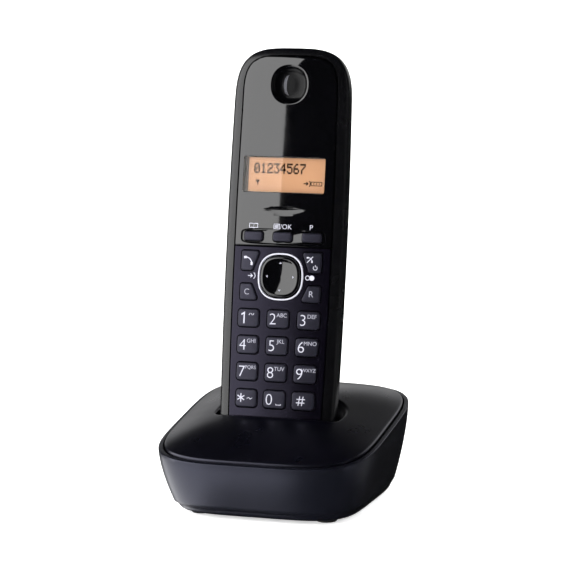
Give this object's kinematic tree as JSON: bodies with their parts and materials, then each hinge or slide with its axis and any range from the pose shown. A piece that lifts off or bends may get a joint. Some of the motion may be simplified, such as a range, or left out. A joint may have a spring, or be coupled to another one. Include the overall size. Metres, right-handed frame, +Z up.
{
  "type": "cordless phone with base",
  "caption": "Upright cordless handset with keypad, navigator and small display, leaning in a rounded-square charging base.",
  "frame": {"origin": "on the resting plane under the middle of the base", "axes": "+Z up, -Y the front that faces the user, +X to the right seen from the front"},
  "size_m": [0.091, 0.0984, 0.1854],
  "materials": {
    "base_housing": "satin moulded ABS, near black",
    "base_cover": "polished moulded ABS, black",
    "base_circuit_board": "fibreglass board with green mask",
    "rf_shield": "nickel-plated or stamped steel",
    "page_switch": "black moulded socket",
    "line_jack": "black moulded socket",
    "power_jack": "black moulded socket",
    "base_contact_left": "nickel-plated or stamped steel",
    "base_contact_right": "nickel-plated or stamped steel",
    "foot_front_left": "black rubber",
    "foot_front_right": "black rubber",
    "foot_back_left": "black rubber",
    "foot_back_right": "black rubber",
    "base_screw_left": "nickel-plated or stamped steel",
    "base_screw_right": "nickel-plated or stamped steel",
    "handset_rear_case": "satin moulded ABS, near black",
    "upper_face_panel": "polished moulded ABS, black",
    "keypad_panel": "satin moulded ABS, near black",
    "display_window": "clear acrylic window",
    "lcd_module": "amber lit display",
    "earpiece_receiver": "nickel-plated or stamped steel",
    "nav_ring": "pale moulded ring",
    "rubber_keypad": "grey silicone rubber",
    "handset_circuit_board": "fibreglass board with green mask",
    "battery_tray": "black moulded socket",
    "battery_cell_left": "printed cell wrap",
    "battery_cell_right": "printed cell wrap",
    "battery_bridge_contact": "nickel-plated or stamped steel",
    "battery_contact_positive": "nickel-plated or stamped steel",
    "battery_contact_negative": "nickel-plated or stamped steel",
    "ringer_speaker": "nickel-plated or stamped steel",
    "microphone": "nickel-plated or stamped steel",
    "handset_contact_left": "nickel-plated or stamped steel",
    "handset_contact_right": "nickel-plated or stamped steel",
    "handset_screw_left": "nickel-plated or stamped steel",
    "handset_screw_right": "nickel-plated or stamped steel",
    "page_button": "satin moulded key, charcoal",
    "battery_cover": "satin moulded ABS, near black",
    "nav_stem": "grey silicone rubber",
    "nav_cap": "polished moulded ABS, black",
    "soft_key_left": "satin moulded key, charcoal",
    "soft_key_middle": "satin moulded key, charcoal",
    "soft_key_right": "satin moulded key, charcoal",
    "talk_key": "satin moulded key, charcoal",
    "off_key": "satin moulded key, charcoal",
    "clear_key": "satin moulded key, charcoal",
    "recall_key": "satin moulded key, charcoal",
    "key_1": "satin moulded key, charcoal",
    "key_2": "satin moulded key, charcoal",
    "key_3": "satin moulded key, charcoal",
    "key_4": "satin moulded key, charcoal",
    "key_5": "satin moulded key, charcoal",
    "key_6": "satin moulded key, charcoal",
    "key_7": "satin moulded key, charcoal",
    "key_8": "satin moulded key, charcoal",
    "key_9": "satin moulded key, charcoal",
    "key_star": "satin moulded key, charcoal",
    "key_0": "satin moulded key, charcoal",
    "key_hash": "satin moulded key, charcoal"
  },
  "bodies": {
    "base": {"base_housing": "base_housing", "base_cover": "base_cover", "base_circuit_board": "base_circuit_board", "rf_shield": "rf_shield", "page_switch": "page_switch", "line_jack": "line_jack", "power_jack": "power_jack", "base_contact_left": "base_contact_left", "base_contact_right": "base_contact_right", "foot_front_left": "foot_front_left", "foot_front_right": "foot_front_right", "foot_back_left": "foot_back_left", "foot_back_right": "foot_back_right", "base_screw_left": "base_screw_left", "base_screw_right": "base_screw_right"},
    "handset": {"handset_rear_case": "handset_rear_case", "upper_face_panel": "upper_face_panel", "keypad_panel": "keypad_panel", "display_window": "display_window", "lcd_module": "lcd_module", "earpiece_receiver": "earpiece_receiver", "nav_ring": "nav_ring", "rubber_keypad": "rubber_keypad", "handset_circuit_board": "handset_circuit_board", "battery_tray": "battery_tray", "battery_cell_left": "battery_cell_left", "battery_cell_right": "battery_cell_right", "battery_bridge_contact": "battery_bridge_contact", "battery_contact_positive": "battery_contact_positive", "battery_contact_negative": "battery_contact_negative", "ringer_speaker": "ringer_speaker", "microphone": "microphone", "handset_contact_left": "handset_contact_left", "handset_contact_right": "handset_contact_right", "handset_screw_left": "handset_screw_left", "handset_screw_right": "handset_screw_right"},
    "page_button": {"page_button": "page_button"},
    "battery_door": {"battery_cover": "battery_cover"},
    "nav_rocker": {"nav_stem": "nav_stem"},
    "nav_pad": {"nav_cap": "nav_cap"},
    "soft_key_left": {"soft_key_left": "soft_key_left"},
    "soft_key_middle": {"soft_key_middle": "soft_key_middle"},
    "soft_key_right": {"soft_key_right": "soft_key_right"},
    "talk_key": {"talk_key": "talk_key"},
    "off_key": {"off_key": "off_key"},
    "clear_key": {"clear_key": "clear_key"},
    "recall_key": {"recall_key": "recall_key"},
    "key_1": {"key_1": "key_1"},
    "key_2": {"key_2": "key_2"},
    "key_3": {"key_3": "key_3"},
    "key_4": {"key_4": "key_4"},
    "key_5": {"key_5": "key_5"},
    "key_6": {"key_6": "key_6"},
    "key_7": {"key_7": "key_7"},
    "key_8": {"key_8": "key_8"},
    "key_9": {"key_9": "key_9"},
    "key_star": {"key_star": "key_star"},
    "key_0": {"key_0": "key_0"},
    "key_hash": {"key_hash": "key_hash"}
  },
  "joints": [
    {"name": "handset_lift", "type": "slide", "parent": "base", "child": "handset", "axis": [0, 0.1625, 0.9867], "range_m": [0, 0.06]},
    {"name": "page_press", "type": "slide", "parent": "base", "child": "page_button", "axis": [0, 0, -1], "range_m": [0, 0.0008], "stiffness_N_per_m": 400},
    {"name": "battery_door_off", "type": "slide", "parent": "handset", "child": "battery_door", "axis": [0, 0.9867, -0.1625], "range_m": [0, 0.01]},
    {"name": "nav_left_right", "type": "hinge", "parent": "handset", "child": "nav_rocker", "pos_m": [0, -0.00321, 0.09352], "axis": [0, 0.1625, 0.9867], "range_deg": [-3, 3], "stiffness_Nm_per_rad": 0.05},
    {"name": "nav_up_down", "type": "hinge", "parent": "nav_rocker", "child": "nav_pad", "pos_m": [0, -0.00321, 0.09352], "axis": [1, 0, 0], "range_deg": [-3, 3], "stiffness_Nm_per_rad": 0.05},
    {"name": "soft_key_left_press", "type": "slide", "parent": "handset", "child": "soft_key_left", "axis": [0, 0.9867, -0.1625], "range_m": [0, 0.0005], "stiffness_N_per_m": 300},
    {"name": "soft_key_middle_press", "type": "slide", "parent": "handset", "child": "soft_key_middle", "axis": [0, 0.9867, -0.1625], "range_m": [0, 0.0005], "stiffness_N_per_m": 300},
    {"name": "soft_key_right_press", "type": "slide", "parent": "handset", "child": "soft_key_right", "axis": [0, 0.9867, -0.1625], "range_m": [0, 0.0005], "stiffness_N_per_m": 300},
    {"name": "talk_key_press", "type": "slide", "parent": "handset", "child": "talk_key", "axis": [0, 0.9867, -0.1625], "range_m": [0, 0.0005], "stiffness_N_per_m": 300},
    {"name": "off_key_press", "type": "slide", "parent": "handset", "child": "off_key", "axis": [0, 0.9867, -0.1625], "range_m": [0, 0.0005], "stiffness_N_per_m": 300},
    {"name": "clear_key_press", "type": "slide", "parent": "handset", "child": "clear_key", "axis": [0, 0.9867, -0.1625], "range_m": [0, 0.0005], "stiffness_N_per_m": 300},
    {"name": "recall_key_press", "type": "slide", "parent": "handset", "child": "recall_key", "axis": [0, 0.9867, -0.1625], "range_m": [0, 0.0005], "stiffness_N_per_m": 300},
    {"name": "key_1_press", "type": "slide", "parent": "handset", "child": "key_1", "axis": [0, 0.9867, -0.1625], "range_m": [0, 0.0005], "stiffness_N_per_m": 300},
    {"name": "key_2_press", "type": "slide", "parent": "handset", "child": "key_2", "axis": [0, 0.9867, -0.1625], "range_m": [0, 0.0005], "stiffness_N_per_m": 300},
    {"name": "key_3_press", "type": "slide", "parent": "handset", "child": "key_3", "axis": [0, 0.9867, -0.1625], "range_m": [0, 0.0005], "stiffness_N_per_m": 300},
    {"name": "key_4_press", "type": "slide", "parent": "handset", "child": "key_4", "axis": [0, 0.9867, -0.1625], "range_m": [0, 0.0005], "stiffness_N_per_m": 300},
    {"name": "key_5_press", "type": "slide", "parent": "handset", "child": "key_5", "axis": [0, 0.9867, -0.1625], "range_m": [0, 0.0005], "stiffness_N_per_m": 300},
    {"name": "key_6_press", "type": "slide", "parent": "handset", "child": "key_6", "axis": [0, 0.9867, -0.1625], "range_m": [0, 0.0005], "stiffness_N_per_m": 300},
    {"name": "key_7_press", "type": "slide", "parent": "handset", "child": "key_7", "axis": [0, 0.9867, -0.1625], "range_m": [0, 0.0005], "stiffness_N_per_m": 300},
    {"name": "key_8_press", "type": "slide", "parent": "handset", "child": "key_8", "axis": [0, 0.9867, -0.1625], "range_m": [0, 0.0005], "stiffness_N_per_m": 300},
    {"name": "key_9_press", "type": "slide", "parent": "handset", "child": "key_9", "axis": [0, 0.9867, -0.1625], "range_m": [0, 0.0005], "stiffness_N_per_m": 300},
    {"name": "key_star_press", "type": "slide", "parent": "handset", "child": "key_star", "axis": [0, 0.9867, -0.1625], "range_m": [0, 0.0005], "stiffness_N_per_m": 300},
    {"name": "key_0_press", "type": "slide", "parent": "handset", "child": "key_0", "axis": [0, 0.9867, -0.1625], "range_m": [0, 0.0005], "stiffness_N_per_m": 300},
    {"name": "key_hash_press", "type": "slide", "parent": "handset", "child": "key_hash", "axis": [0, 0.9867, -0.1625], "range_m": [0, 0.0005], "stiffness_N_per_m": 300}
  ]
}
